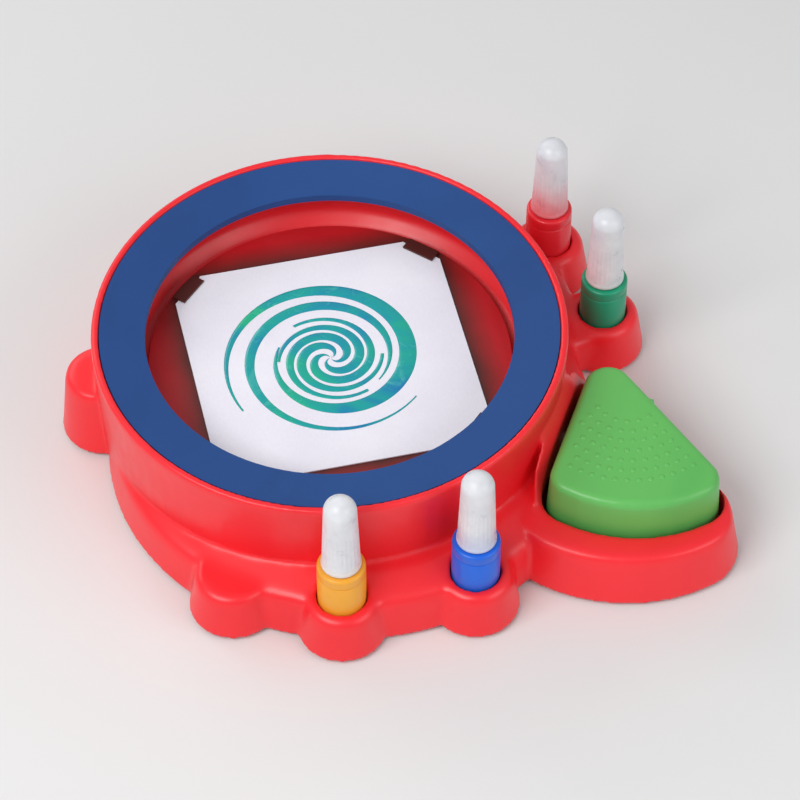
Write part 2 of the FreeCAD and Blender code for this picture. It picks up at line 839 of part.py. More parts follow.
# Turntable: a lipped disc with a hub and four corner clips for the card
def turntable():
    under = "turntable_top - turntable_thick"
    body = revolve("turntable_body", [
        ("spindle_radius + press_gap", "hub_bottom"),
        ("hub_radius", "hub_bottom"),
        ("hub_radius", under),
        ("turntable_radius - turntable_edge", under),
        ("turntable_radius - turntable_edge", "turntable_top - turntable_lip"),
        ("turntable_radius", "turntable_top - turntable_lip"),
        ("turntable_radius", "turntable_top"),
        ("screw_head_radius + fit_gap", "turntable_top"),
        ("screw_head_radius + fit_gap", "hub_seat + hub_web"),
        ("screw_radius + press_gap", "hub_seat + hub_web"),
        ("screw_radius + press_gap", "hub_seat"),
        ("spindle_radius + press_gap", "hub_seat"),
    ])
    post_in = "card_corner + fit_gap"
    post_out = post_in + " + clip_post"
    lip_bottom = "card_bottom + card_thick + card_slack"
    angle = "card_angle + 45"
    half = "clip_width / 2"

    def bar(name, near, far, bottom, height):
        corners = ((near, "-" + half), (far, "-" + half), (far, half), (near, half))
        points = [turned_point(x, y, angle) for x, y in corners]
        block = pad_outline(body, name, points, bottom, height)
        repeat(body, name + "s", block, "4")

    post_height = lip_bottom + " - turntable_top + clip_root + clip_lip"
    bar("clip_post_bar", post_in, post_out, "turntable_top - clip_root", post_height)
    bar("clip_lip_bar", post_in + " - clip_reach", post_out, lip_bottom, "clip_lip")
    keep("turntable", body)


def paper_card():
    corners = []
    for quarter in range(4):
        angle = "card_angle + %d" % (90 * quarter)
        corners.append(turned_point("card_half", "-card_side", angle))
        corners.append(turned_point("card_half", "card_side", angle))
    keep("paper_card", plate("paper_card_body", corners, "card_bottom", "card_thick"))


# Toothed parts
def tooth_points(radius):
    """A spur tooth on the +X side of a wheel, with slack at its flanks."""
    tip = "%s + tooth_size * tooth_rise" % radius
    root = "%s - tooth_size * tooth_depth - tooth_sink" % radius
    tip_half = "tooth_size * tooth_tip_half - tooth_slack / 2"
    pitch_half = "tooth_size * pi / 4 - tooth_slack / 2"
    root_half = "tooth_size * tooth_root_half - tooth_slack / 2"
    return [
        (root, "-(%s)" % root_half),
        (radius, "-(%s)" % pitch_half),
        (tip, "-(%s)" % tip_half),
        (tip, tip_half),
        (radius, pitch_half),
        (root, root_half),
    ]


def turn_points(points, angle):
    return [turned_point(x, y, angle) for x, y in points]


def spur_gear(name, teeth, radius, bore, bottom, height, start="0"):
    root = "%s - tooth_size * tooth_depth" % radius
    body = revolve(name, [
        (bore, bottom),
        (root, bottom),
        (root, "%s + %s" % (bottom, height)),
        (bore, "%s + %s" % (bottom, height)),
    ])
    tooth = pad_outline(body, name + "_tooth", turn_points(tooth_points(radius), start), bottom, height)
    repeat(body, name + "_teeth", tooth, teeth)
    return body


def cross_shaft():
    shaft = cylinder_along_y(
        "cross_shaft_rod", "cross_shaft_radius",
        "upright_far_y - upright_thick - shaft_past_frame", "crown_face_y - shaft_past_crown",
        "0", "shaft_height",
    )
    keep("cross_shaft", shaft)
    pinion = spur_gear(
        "sector_pinion_body", "pinion_teeth", "pinion_radius", "cross_shaft_radius + press_gap",
        "-pinion_length / 2", "pinion_length",
    )
    keep("sector_pinion", lay_along_y(pinion, "0", "arm_y", "shaft_height"))
    clip = revolve("shaft_clip_body", [
        ("cross_shaft_radius + press_gap", "0"),
        ("cross_shaft_radius + shaft_clip_width", "0"),
        ("cross_shaft_radius + shaft_clip_width", "shaft_clip_thick"),
        ("cross_shaft_radius + press_gap", "shaft_clip_thick"),
    ])
    clip_y = "upright_far_y - upright_thick - shaft_clip_gap - shaft_clip_thick"
    keep("shaft_clip", lay_along_y(clip, "0", clip_y, "shaft_height"))


# Crown gear: teeth on the face of a disc, facing the spindle, each of thinner layers towards its tip
CROWN_LAYERS = 4


def crown_gear():
    inner = "crown_radius - crown_face / 2"
    outer = "crown_radius + crown_face / 2"
    body = revolve("crown_gear_body", [
        ("cross_shaft_radius + press_gap", "-crown_disc"),
        (outer, "-crown_disc"),
        (outer, "0"),
        ("cross_shaft_radius + press_gap", "0"),
    ])
    half_turn = "90 + 180 / crown_teeth"
    layer_height = "tooth_size * crown_tooth_height / %d" % CROWN_LAYERS
    for layer in range(CROWN_LAYERS):
        share = (layer + 0.5) / CROWN_LAYERS
        half = "tooth_size * (crown_tooth_half - crown_tooth_taper * %g)" % share
        corners = ((inner, "-(%s)" % half), (outer, "-(%s)" % half), (outer, half), (inner, half))
        points = turn_points(corners, "-(%s)" % half_turn)
        top = "(%s) * %d" % (layer_height, layer + 1)
        bottom = "(%s) * %d - crown_tooth_sink" % (layer_height, layer)
        block = pad_outline(body, "crown_tooth_%d" % layer, points, bottom, "%s - (%s)" % (top, bottom))
        repeat(body, "crown_teeth_%d" % layer, block, "crown_teeth")
    keep("crown_gear", lay_along_y(body, "0", "crown_face_y", "shaft_height"))


# Clutch gear: runs loose on the spindle and carries the pawls over the ratchet wheel
def clutch_gear():
    body = spur_gear(
        "clutch_gear_body", "clutch_teeth", "clutch_radius", "spindle_radius + running_gap",
        "clutch_bottom", "crown_face", "270",
    )
    ring = [
        turned_point("clutch_flange_radius", "0", str(30 * step)) for step in range(12)
    ]
    pad_outline(body, "clutch_flange_block", ring, "flange_bottom", "clutch_flange")
    drill(body, "clutch_bore", "spindle_radius + running_gap",
          "flange_bottom - overshoot", "clutch_flange + overshoot * 2")
    keep("clutch_gear", body)


def pawls():
    solids = []
    for side in range(2):
        angle = str(180 * side)
        corners = (
            ("ratchet_radius + pawl_gap", "-pawl_tip_half"),
            ("clutch_flange_radius - pawl_gap * 2", "-pawl_half"),
            ("clutch_flange_radius - pawl_gap * 2", "pawl_half"),
            ("ratchet_radius + pawl_half - pawl_gap", "pawl_half"),
        )
        points = turn_points(corners, angle)
        solids.append(plate("pawl_%d" % side, points, "ratchet_bottom", "ratchet_height + fit_gap"))
    keep("pawls", group("pawl_pair", solids))


def ratchet_wheel():
    points = []
    for step in range(int(number("ratchet_teeth"))):
        points.append(turned_point("ratchet_root", "0", "%d * 360 / ratchet_teeth" % step))
        points.append(turned_point("ratchet_radius", "0", "(%d + 0.86) * 360 / ratchet_teeth" % step))
    body = plate("ratchet_wheel_body", points, "ratchet_bottom", "ratchet_height")
    drill(body, "ratchet_bore", "spindle_radius + press_gap",
          "ratchet_bottom - overshoot", "ratchet_height + overshoot * 2")
    keep("ratchet_wheel", body)


def spindle():
    body = revolve("spindle_body", [
        ("0", "spindle_bottom"),
        ("spindle_radius", "spindle_bottom"),
        ("spindle_radius", "hub_seat"),
        ("screw_radius + press_gap", "hub_seat"),
        ("screw_radius + press_gap", "hub_seat - spindle_thread"),
        ("0", "hub_seat - spindle_thread"),
    ])
    keep("spindle", body)
    screw = revolve("turntable_screw_body", [
        ("0", "hub_seat - turntable_screw_length"),
        ("screw_radius", "hub_seat - turntable_screw_length"),
        ("screw_radius", "hub_seat + hub_web"),
        ("screw_head_radius", "hub_seat + hub_web"),
        ("screw_head_radius", "hub_seat + hub_web + turntable_screw_head"),
        ("0", "hub_seat + hub_web + turntable_screw_head"),
    ])
    keep("turntable_screw", screw)
    bush = revolve("upper_bush_body", [
        ("spindle_radius + running_gap", "clutch_middle + crown_face / 2 + bush_clear"),
        ("bush_radius", "clutch_middle + crown_face / 2 + bush_clear"),
        ("bush_radius", "floor_top"),
        ("bush_flange_radius", "floor_top"),
        ("bush_flange_radius", "floor_top + bush_flange"),
        ("spindle_radius + running_gap", "floor_top + bush_flange"),
    ])
    keep("upper_bush", bush)
    washer = revolve("thrust_washer_body", [
        ("spindle_radius + fit_gap", "floor_top + bush_flange"),
        ("bush_flange_radius - washer_inset", "floor_top + bush_flange"),
        ("bush_flange_radius - washer_inset", "hub_bottom - washer_gap"),
        ("spindle_radius + fit_gap", "hub_bottom - washer_gap"),
    ])
    keep("thrust_washer", washer)


# Lever: the sector arm, seen along its hinge pin, and the push pad fixed to its tail
def sector_arm():
    body = doc.addObject("PartDesign::Body", "sector_arm_body")
    root = "sector_radius - tooth_size * tooth_depth"
    pitch = "360 / sector_teeth"
    points = [("0", "-arm_hub_radius + arm_hub_inset")]
    teeth = int(number("sector_cut_teeth"))
    for step in range(teeth + 1):
        points.append(turned_point("-(%s)" % root, "0", "(%d - 1) * -(%s)" % (step, pitch)))
    points.append(("0", "arm_hub_radius - arm_hub_inset"))
    points.append(("arm_tail", "arm_tail_drop"))
    points.append(("arm_tail", "-arm_rise"))
    points.append(("arm_hub_radius * 2.5", "-arm_rise"))
    pad_outline(body, "arm_blade", points, "-arm_thick / 2", "arm_thick")
    flat = sketch(body, "arm_hub_sketch", "XY_Plane", "-arm_hub_length / 2")
    circle(flat, "arm_hub_radius")
    hub = body.newObject("PartDesign::Pad", "arm_hub")
    hub.Profile = flat
    tie(hub, "Length", "arm_hub_length")
    doc.recompute()
    for step in range(teeth):
        angle = "180 + (%s) * (%d - 0.5)" % (pitch, 1 - step)
        tooth = turn_points(tooth_points("sector_radius"), angle)
        pad_outline(body, "arm_tooth_%d" % step, tooth, "-arm_thick / 2", "arm_thick")
    drill(body, "arm_bore", "hinge_pin_radius + running_gap",
          "-arm_hub_length / 2 - overshoot", "arm_hub_length + overshoot * 2")
    keep("sector_arm", lay_along_y(body, "hinge_x", "arm_y", "shaft_height"))


def hinge_pin():
    keep("hinge_pin", cylinder_along_y(
        "hinge_pin_rod", "hinge_pin_radius",
        "ear_far_y - ear_thick - overshoot", "ear_near_y + ear_thick + overshoot",
        "hinge_x", "shaft_height",
    ))


def push_pad():
    outer = pad_prism("pad_outer", "pad_corner", "pad_bottom", "pad_top - pad_bottom", "pad_draft")
    outer = round_edges("pad_rounded", outer, "pad_round", at_height("pad_top"))
    inner = pad_prism(
        "pad_inner", "pad_corner - pad_wall", "pad_bottom - overshoot",
        "pad_top - pad_bottom - pad_wall + overshoot", "pad_draft",
    )
    shell = cut("pad_shell", outer, inner)
    block = box(
        "pad_block",
        ("pad_tip_x - pad_block_reach", "arm_y - arm_thick / 2 - pad_block_side", "pad_bottom - fit_gap"),
        (
            "hinge_x + arm_tail + pad_block_end", "arm_y + arm_thick / 2 + pad_block_side",
            "pad_top - pad_wall / 2",
        ),
    )
    slot = box(
        "pad_slot",
        ("hinge_x + arm_hub_radius * 2", "arm_y - arm_thick / 2 - press_gap", "0"),
        (
            "hinge_x + arm_tail + press_gap", "arm_y + arm_thick / 2 + press_gap",
            "shaft_height + arm_rise + press_gap",
        ),
    )
    post = cylinder(
        "pad_post", "spring_radius + spring_post_margin", "pad_top - pad_wall / 2 - spring_head",
        "spring_x", "spring_y", "spring_head",
    )
    keep("push_pad", cut("pad_cut", fuse("pad_solid", [shell, block, post]), slot))


def return_spring():
    rise = "spring_head - cover_top - spring_wire * 2"
    helix = doc.addObject("Part::Helix", "spring_helix")
    tie(helix, "Radius", "spring_radius")
    tie(helix, "Height", rise)
    tie(helix, "Pitch", "(%s) / spring_turns" % rise)
    helix.SegmentLength = 1
    wire = doc.addObject("Part::RegularPolygon", "spring_wire_section")
    wire.Polygon = 8
    tie(wire, "Circumradius", "spring_wire / 2")
    wire.Placement.Rotation = FreeCAD.Rotation(FreeCAD.Vector(1, 0, 0), 90)
    place(wire, "spring_radius")
    doc.recompute()
    sweep = doc.addObject("Part::Sweep", "spring_sweep")
    sweep.Sections = [wire]
    sweep.Spine = (helix, [])
    sweep.Solid = True
    sweep.Frenet = True
    place(sweep, "spring_x", "spring_y", "cover_top + spring_wire")
    keep("return_spring", sweep)


# Fasteners and feet
def screws():
    """Six screws up through the cover, and two down through the gear frame's foot."""
    low = "base + screw_sink"
    cover = []
    for count, angle in enumerate(COLUMN_ANGLES):
        x, y = polar("column_reach", angle)
        stem = cylinder("cover_stem_%d" % count, "screw_radius", "screw_head + screw_length", x, y, low)
        head = cylinder("cover_head_%d" % count, "screw_head_radius", "screw_head", x, y, low)
        cover.append(fuse("cover_screw_%d" % count, [stem, head]))
    keep("cover_screws", group("cover_screw_set", cover))
    frame = []
    seat = "cover_top + frame_foot_thick"
    for count, (x, y) in enumerate(FRAME_SCREWS):
        stem = cylinder("frame_stem_%d" % count, "screw_radius", "%s - (%s)" % (seat, low), x, y, low)
        head = cylinder("frame_head_%d" % count, "screw_head_radius", "frame_screw_head", x, y, seat)
        frame.append(fuse("frame_screw_%d" % count, [stem, head]))
    keep("frame_screws", group("frame_screw_set", frame))


def feet():
    solids = [cylinder("foot_centre", "foot_radius", "foot_height")]
    for count, angle in enumerate(FOOT_ANGLES):
        x, y = polar("foot_ring", angle)
        solids.append(cylinder("foot_%d" % count, "foot_radius", "foot_height", x, y))
    x, y = "pad_arc_x + pad_foot_x", "pad_arc_y + pad_foot_y"
    solids.append(cylinder("foot_pad", "foot_radius", "foot_height", x, y))
    keep("rubber_feet", group("foot_set", solids))


# Paint tubes: a bottle, its nozzle and its cap, standing in a socket
def paint_tube(name, reach, angle):
    x, y = polar(reach, angle)
    inner = "tube_radius - tube_wall"
    neck_in = "neck_radius - tube_wall"
    neck_top = "tube_shoulder + neck_height"
    bottle = revolve(name + "_bottle_body", [
        ("0", "tube_bottom"),
        ("tube_radius - tube_foot_round", "tube_bottom"),
        ("tube_radius", "tube_bottom + tube_foot_round"),
        ("tube_radius", "tube_shoulder - tube_shoulder_round"),
        ("tube_radius - tube_shoulder_round", "tube_shoulder"),
        ("neck_radius", "tube_shoulder"),
        ("neck_radius", neck_top),
        (neck_in, neck_top),
        (neck_in, "tube_shoulder - tube_wall"),
        (inner + " - tube_shoulder_round", "tube_shoulder - tube_wall"),
        (inner, "tube_shoulder - tube_wall - tube_shoulder_round"),
        (inner, "tube_bottom + tube_wall"),
        ("0", "tube_bottom + tube_wall"),
    ], x, y)
    keep(name + "_bottle", bottle)
    nozzle = revolve(name + "_nozzle_body", [
        ("nozzle_bore", neck_top + " - nozzle_plug"),
        (neck_in + " - press_gap", neck_top + " - nozzle_plug"),
        (neck_in + " - press_gap", neck_top),
        ("neck_radius", neck_top),
        ("neck_radius", neck_top + " + nozzle_collar"),
        ("neck_radius - nozzle_step", neck_top + " + nozzle_collar * 2"),
        ("nozzle_end", "nozzle_tip"),
        ("nozzle_bore", "nozzle_tip"),
    ], x, y)
    keep(name + "_nozzle", nozzle)
    bottom = "tube_shoulder + fit_gap"
    cap = doc.addObject("PartDesign::Body", name + "_cap_body")
    flat = sketch(cap, name + "_cap_section", "XZ_Plane")
    outline(flat, [
        ("0", bottom),
        ("cap_radius", bottom),
        ("cap_top_radius", "cap_top"),
        ("0", "cap_top"),
    ])
    turned = cap.newObject("PartDesign::Revolution", name + "_cap_turned")
    turned.Profile = flat
    turned.ReferenceAxis = (flat, ["V_Axis"])
    turned.Angle = 360
    doc.recompute()
    dome = cap.newObject("PartDesign::Fillet", name + "_cap_dome")
    rim = at_height("cap_top")
    names = ["Edge%d" % i for i, edge in enumerate(turned.Shape.Edges, 1) if rim(edge)]
    dome.Base = (turned, names)
    tie(dome, "Radius", "cap_round")
    doc.recompute()
    before = cap.Shape.Volume
    flat = sketch(cap, name + "_cap_inside", "XZ_Plane")
    inner_top = "cap_top_radius - cap_wall"
    outline(flat, [
        ("0", bottom + " - overshoot"),
        ("cap_radius - cap_wall", bottom + " - overshoot"),
        ("cap_radius - cap_wall", bottom),
        (inner_top, "cap_top - cap_round"),
        (inner_top + " - cap_round * 0.3", "cap_top - cap_round * 0.55"),
        (inner_top + " - cap_round * 0.6", "cap_top - cap_wall - cap_round * 0.1"),
        ("0", "cap_top - cap_wall"),
    ])
    groove = cap.newObject("PartDesign::Groove", name + "_cap_hollow")
    groove.Profile = flat
    groove.ReferenceAxis = (flat, ["V_Axis"])
    groove.Angle = 360
    place(cap, x, y)
    doc.recompute()
    if cap.Shape.Volume >= before:
        raise ValueError("the cap's hollow removes nothing")
    keep(name + "_cap", cap)


def check_and_export():
    os.makedirs("parts", exist_ok=True)
    doc.recompute()
    for thing in doc.Objects:
        if "Invalid" in thing.State or "Error" in thing.State:
            raise ValueError("%s failed: %s" % (thing.Label, thing.State))
    for name, thing in MADE.items():
        shape = thing.Shape
        if shape.isNull() or not shape.isValid() or not shape.Solids:
            raise ValueError(name + " has no valid solid")
    for name, thing in MADE.items():
        thing.Shape.exportStep(os.path.join("parts", name + ".step"))
        span = thing.Shape.BoundBox
        print("%-20s %2d solids %9.0f mm3  x %6.1f %6.1f  y %6.1f %6.1f  z %5.1f %5.1f" % (
            name, len(thing.Shape.Solids), thing.Shape.Volume,
            span.XMin, span.XMax, span.YMin, span.YMax, span.ZMin, span.ZMax))


upper_housing()
bottom_cover()
gear_frame()
splash_ring()
turntable()
paper_card()
cross_shaft()
crown_gear()
clutch_gear()
pawls()
ratchet_wheel()
spindle()
sector_arm()
hinge_pin()
push_pad()
return_spring()
screws()
feet()
for boss_name, boss_reach, boss_angle in TUBE_BOSSES:
    paint_tube(boss_name + "_tube", boss_reach, boss_angle)
check_and_export()
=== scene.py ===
import json
import math

import bpy
import numpy as np
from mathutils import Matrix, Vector


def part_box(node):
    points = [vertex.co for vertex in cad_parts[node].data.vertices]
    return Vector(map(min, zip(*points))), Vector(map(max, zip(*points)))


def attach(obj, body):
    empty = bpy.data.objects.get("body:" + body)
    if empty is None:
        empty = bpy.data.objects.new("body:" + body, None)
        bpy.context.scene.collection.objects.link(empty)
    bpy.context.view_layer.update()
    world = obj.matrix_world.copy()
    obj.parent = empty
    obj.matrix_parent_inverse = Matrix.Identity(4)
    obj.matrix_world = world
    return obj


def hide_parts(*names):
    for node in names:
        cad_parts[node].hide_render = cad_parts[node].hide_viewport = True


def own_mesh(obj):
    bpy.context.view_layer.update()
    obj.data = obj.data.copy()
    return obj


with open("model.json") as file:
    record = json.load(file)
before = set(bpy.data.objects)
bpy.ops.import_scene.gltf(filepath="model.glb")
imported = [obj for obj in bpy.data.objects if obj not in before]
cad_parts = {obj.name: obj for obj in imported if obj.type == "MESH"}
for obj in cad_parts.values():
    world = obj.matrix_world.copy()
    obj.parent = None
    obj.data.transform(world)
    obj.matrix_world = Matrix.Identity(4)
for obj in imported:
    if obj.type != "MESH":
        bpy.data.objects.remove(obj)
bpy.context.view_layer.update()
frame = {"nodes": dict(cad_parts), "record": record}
NODES = frame["nodes"]
MM = 0.001
CARD_TURN = math.radians(13)
TUBES = ["front_tube", "front_right_tube", "back_right_tube", "back_tube"]

# Voxels of the two skins in metres, and the housing's rounds of softening
SKIN_VOXEL = 0.0008
SKIN_ROUNDS = 45
PAD_VOXEL = 0.0005
LIGHT_ROUNDS = 6
PAD_ROUNDS = 5

# The housing's foot below this height keeps its level, in millimetres
FOOT_ZONE = 2.1

# The pad's core outline, a tip and an arc, grown by a corner radius, in millimetres
PAD_TIP = (103.5, -13.0)
PAD_CENTRE = (112, -20)
PAD_RADIUS = 42.5
PAD_CORNER = 10.0
ARC_START, ARC_SWEEP, ARC_STEPS = 238, 62, 8
PAD_CORE = [PAD_TIP] + [
    (
        PAD_CENTRE[0] + PAD_RADIUS * math.cos(math.radians(ARC_START + ARC_SWEEP * i / ARC_STEPS)),
        PAD_CENTRE[1] + PAD_RADIUS * math.sin(math.radians(ARC_START + ARC_SWEEP * i / ARC_STEPS)),
    )
    for i in range(ARC_STEPS + 1)
]

# Return spring: its axis and wire in metres
SPRING_PLACE = (0.119, -0.042)
SPRING_WIRE = 0.45 * MM
SPRING_RADIUS = 5.4 * MM
SLOT_OF = {part["node"]: part["material_slot"] for part in frame["record"]["subparts"]}


# Materials
class Nodes:
    """A short way to add and link shader nodes."""

    def __init__(self, name):
        self.mat = bpy.data.materials.new(name)
        self.mat.use_nodes = True
        self.tree = self.mat.node_tree
        self.tree.nodes.clear()
        self.out = self.add("ShaderNodeOutputMaterial")
        self.shader = self.add("ShaderNodeBsdfPrincipled")
        self.link(self.shader.outputs["BSDF"], self.out.inputs["Surface"])
        self.place = self.add("ShaderNodeTexCoord").outputs["Object"]

    def add(self, kind, **values):
        node = self.tree.nodes.new(kind)
        for key, value in values.items():
            setattr(node, key, value)
        return node

    def link(self, a, b):
        self.tree.links.new(a, b)

    def noise(self, scale, detail=3.0, rough=0.5, stretch=(1, 1, 1), distort=0.0):
        source = self.place
        if stretch != (1, 1, 1):
            mapping = self.add("ShaderNodeMapping")
            mapping.inputs["Scale"].default_value = stretch
            self.link(self.place, mapping.inputs["Vector"])
            source = mapping.outputs["Vector"]
        node = self.add("ShaderNodeTexNoise")
        node.inputs["Scale"].default_value = scale
        node.inputs["Detail"].default_value = detail
        node.inputs["Roughness"].default_value = rough
        node.inputs["Distortion"].default_value = distort
        self.link(source, node.inputs["Vector"])
        return node.outputs["Fac"]

    def span(self, value, low, high, to_low, to_high):
        node = self.add("ShaderNodeMapRange")
        for name, number in (("From Min", low), ("From Max", high), ("To Min", to_low), ("To Max", to_high)):
            node.inputs[name].default_value = number
        self.link(value, node.inputs["Value"])
        return node.outputs["Result"]

    def math(self, op, a, b=None, c=None):
        node = self.add("ShaderNodeMath", operation=op)
        for i, item in enumerate((a, b, c)):
            if item is None:
                continue
            if isinstance(item, (int, float)):
                node.inputs[i].default_value = item
            else:
                self.link(item, node.inputs[i])
        return node.outputs["Value"]

    def mix(self, factor, a, b, blend="MIX"):
        node = self.add("ShaderNodeMix", data_type="RGBA", blend_type=blend)
        for key, item in ((0, factor), (6, a), (7, b)):
            if isinstance(item, (tuple, list)):
                node.inputs[key].default_value = (*item[:3], 1)
            elif isinstance(item, (int, float)):
                node.inputs[key].default_value = item
            else:
                self.link(item, node.inputs[key])
        return node.outputs[2]

    def bump(self, height, strength, distance, under=None):
        node = self.add("ShaderNodeBump")
        node.inputs["Strength"].default_value = strength
        node.inputs["Distance"].default_value = distance
        self.link(height, node.inputs["Height"])
        if under is not None:
            self.link(under, node.inputs["Normal"])
        self.link(node.outputs["Normal"], self.shader.inputs["Normal"])
        return node.outputs["Normal"]

    def set(self, **values):
        for key, value in values.items():
            self.shader.inputs[key.replace("_", " ")].default_value = value


def moulded(name, color, dark, rough, coat=0.0):
    """Injection moulded plastic: faint flow marks, a fine skin and patchy gloss."""
    n = Nodes(name)
    flow = n.noise(14, 4, 0.55, distort=0.6)
    n.link(n.mix(n.span(flow, 0.35, 0.68, 0, 1), dark, color), n.shader.inputs["Base Color"])
    patch = n.noise(60, 5, 0.6)
    n.link(n.span(patch, 0.3, 0.7, rough[0], rough[1]), n.shader.inputs["Roughness"])
    skin = n.bump(n.noise(1800, 2, 0.5), 0.12, 0.0002)
    n.bump(n.noise(22, 1, 0.4), 0.05, 0.002, skin)
    n.set(Coat_Weight=coat, Coat_Roughness=0.12, IOR=1.5)
    return n.mat


def metal(name, color, rough, stretch):
    """Drawn or turned metal with fine lines along it."""
    n = Nodes(name)
    lines = n.noise(900, 3, 0.6, stretch)
    n.link(n.mix(lines, tuple(c * 0.82 for c in color), color), n.shader.inputs["Base Color"])
    n.link(n.span(lines, 0.3, 0.7, rough * 0.8, rough * 1.4), n.shader.inputs["Roughness"])
    n.bump(lines, 0.1, 0.0001)
    n.set(Metallic=1.0)
    return n.mat


def paper():
    n = Nodes("card_paper")
    fibre = n.noise(1400, 4, 0.7, (1, 0.35, 1))
    cloud = n.noise(30, 3, 0.5)
    tone = n.mix(n.span(cloud, 0.3, 0.7, 0, 1), (0.80, 0.77, 0.86), (0.88, 0.86, 0.93))
    n.link(n.mix(n.span(fibre, 0.35, 0.75, 0, 0.35), tone, (0.97, 0.96, 0.99)), n.shader.inputs["Base Color"])
    n.link(n.span(fibre, 0.3, 0.7, 0.55, 0.75), n.shader.inputs["Roughness"])
    n.bump(fibre, 0.25, 0.0001)
    n.set(Sheen_Weight=0.1)
    return n.mat


def wet_paint():
    """Poster paint: teal that drifts to green and to blue, glossy where it lies thick."""
    n = Nodes("wet_paint")
    drift = n.noise(26, 3, 0.6, distort=0.8)
    streak = n.noise(70, 4, 0.7, (1, 1, 1), distort=1.6)
    cool = n.mix(n.span(drift, 0.46, 0.66, 0, 1), (0.004, 0.36, 0.35), (0.004, 0.19, 0.46))
    warm = n.mix(n.span(drift, 0.30, 0.44, 0, 1), (0.01, 0.46, 0.24), cool)
    n.link(n.mix(n.span(streak, 0.58, 0.74, 0, 0.55), warm, (0.16, 0.66, 0.55)), n.shader.inputs["Base Color"])
    n.link(n.span(streak, 0.3, 0.7, 0.14, 0.34), n.shader.inputs["Roughness"])
    n.bump(streak, 0.2, 0.0004)
    n.set(Coat_Weight=0.3, Coat_Roughness=0.08)
    return n.mat


def turntable_plastic():
    """Red disc, with a painted shadow darkening it to brown round the card's edges."""
    n = Nodes("turntable_plastic")
    turned = n.add("ShaderNodeVectorRotate", rotation_type="Z_AXIS")
    turned.inputs["Angle"].default_value = -CARD_TURN
    n.link(n.place, turned.inputs["Vector"])
    split = n.add("ShaderNodeSeparateXYZ")
    n.link(turned.outputs["Vector"], split.inputs["Vector"])
    side = n.math("MAXIMUM", n.math("ABSOLUTE", split.outputs["X"]), n.math("ABSOLUTE", split.outputs["Y"]))
    edge = n.math("MULTIPLY_ADD", n.noise(40, 4, 0.6), 0.006, side)
    # painted shadow: a blurred band along the card's square outline, where the disc is mixed to the dark brown
    # below
    card_shadow = n.span(edge, 0.0545, 0.0655, 1.0, 0.0)
    red = n.mix(n.noise(14, 4, 0.55), (0.62, 0.012, 0.018), (0.50, 0.010, 0.014))
    n.link(n.mix(card_shadow, red, (0.085, 0.016, 0.012)), n.shader.inputs["Base Color"])
    n.link(n.span(n.noise(60, 5, 0.6), 0.3, 0.7, 0.34, 0.5), n.shader.inputs["Roughness"])
    n.bump(n.noise(1800, 2, 0.5), 0.12, 0.0002)
    return n.mat


def rubber():
    n = Nodes("foot_rubber")
    grain = n.noise(700, 3, 0.6)
    n.link(n.mix(grain, (0.018, 0.018, 0.018), (0.05, 0.05, 0.05)), n.shader.inputs["Base Color"])
    n.link(n.span(grain, 0.3, 0.7, 0.7, 0.9), n.shader.inputs["Roughness"])
    n.bump(grain, 0.3, 0.0002)
    return n.mat


def cap_plastic(name, tint, reach, strength):
    """Milky cap: the paint's colour shows through its lower end and fades upwards."""
    n = Nodes(name)
    split = n.add("ShaderNodeSeparateXYZ")
    n.link(n.place, split.inputs["Vector"])
    cloud = n.noise(160, 3, 0.6)
    wobble = n.math("MULTIPLY_ADD", cloud, 0.004, split.outputs["Z"])
    fade = n.span(wobble, 0.0395, 0.0395 + reach, strength, 0.0)
    milk = n.mix(n.span(cloud, 0.3, 0.7, 0, 1), (0.72, 0.73, 0.78), (0.82, 0.83, 0.87))
    n.link(n.mix(fade, milk, tint), n.shader.inputs["Base Color"])
    n.link(n.span(cloud, 0.3, 0.7, 0.26, 0.40), n.shader.inputs["Roughness"])
    n.bump(n.noise(1500, 2, 0.5), 0.1, 0.0001)
    n.set(IOR=1.49, Subsurface_Weight=0.3, Subsurface_Radius=(0.003, 0.003, 0.0035), Subsurface_Scale=1.0)
    return n.mat


TINTS = {
    "yellow": (0.90, 0.40, 0.03),
    "blue": (0.005, 0.13, 0.72),
    "green": (0.006, 0.33, 0.17),
    "red": (0.86, 0.025, 0.04),
}
RED = (0.96, 0.020, 0.030)
RED_DEEP = (0.90, 0.015, 0.024)
MATERIALS = {
    "red_shell": moulded("red_moulded_plastic", RED, RED_DEEP, (0.30, 0.42), coat=0.06),
    "red_turntable": turntable_plastic(),
    "blue_ring": moulded("blue_moulded_plastic", (0.007, 0.064, 0.250), (0.005, 0.052, 0.215), (0.46, 0.6)),
    "green_pad": moulded("green_moulded_plastic", (0.130, 0.500, 0.110), (0.100, 0.430, 0.090), (0.3, 0.42)),
    "dark_cover": moulded("cover_plastic", (0.42, 0.012, 0.016), (0.34, 0.010, 0.014), (0.5, 0.65)),
    "white_gear_plastic": moulded("gear_plastic", (0.80, 0.79, 0.74), (0.72, 0.71, 0.66), (0.35, 0.5)),
    "steel": metal("bright_steel", (0.62, 0.62, 0.63), 0.28, (1, 1, 0.05)),
    "brass_bush": metal("bush_brass", (0.74, 0.52, 0.22), 0.3, (1, 1, 0.05)),
    "rubber_feet": rubber(),
    "paper_card": paper(),
    "clear_cap": cap_plastic("cap_milky", TINTS["blue"], 0.010, 0.3),
}
for tint_name, tint in TINTS.items():
    MATERIALS["tube_" + tint_name] = moulded(
        "paint_" + tint_name, tint, tuple(c * 0.86 for c in tint), (0.26, 0.38), coat=0.15,
    )
for node_name, thing in NODES.items():
    for index in range(max(1, len(thing.material_slots))):
        if thing.material_slots:
            thing.material_slots[index].material = MATERIALS[SLOT_OF[node_name]]
        else:
            thing.data.materials.append(MATERIALS[SLOT_OF[node_name]])


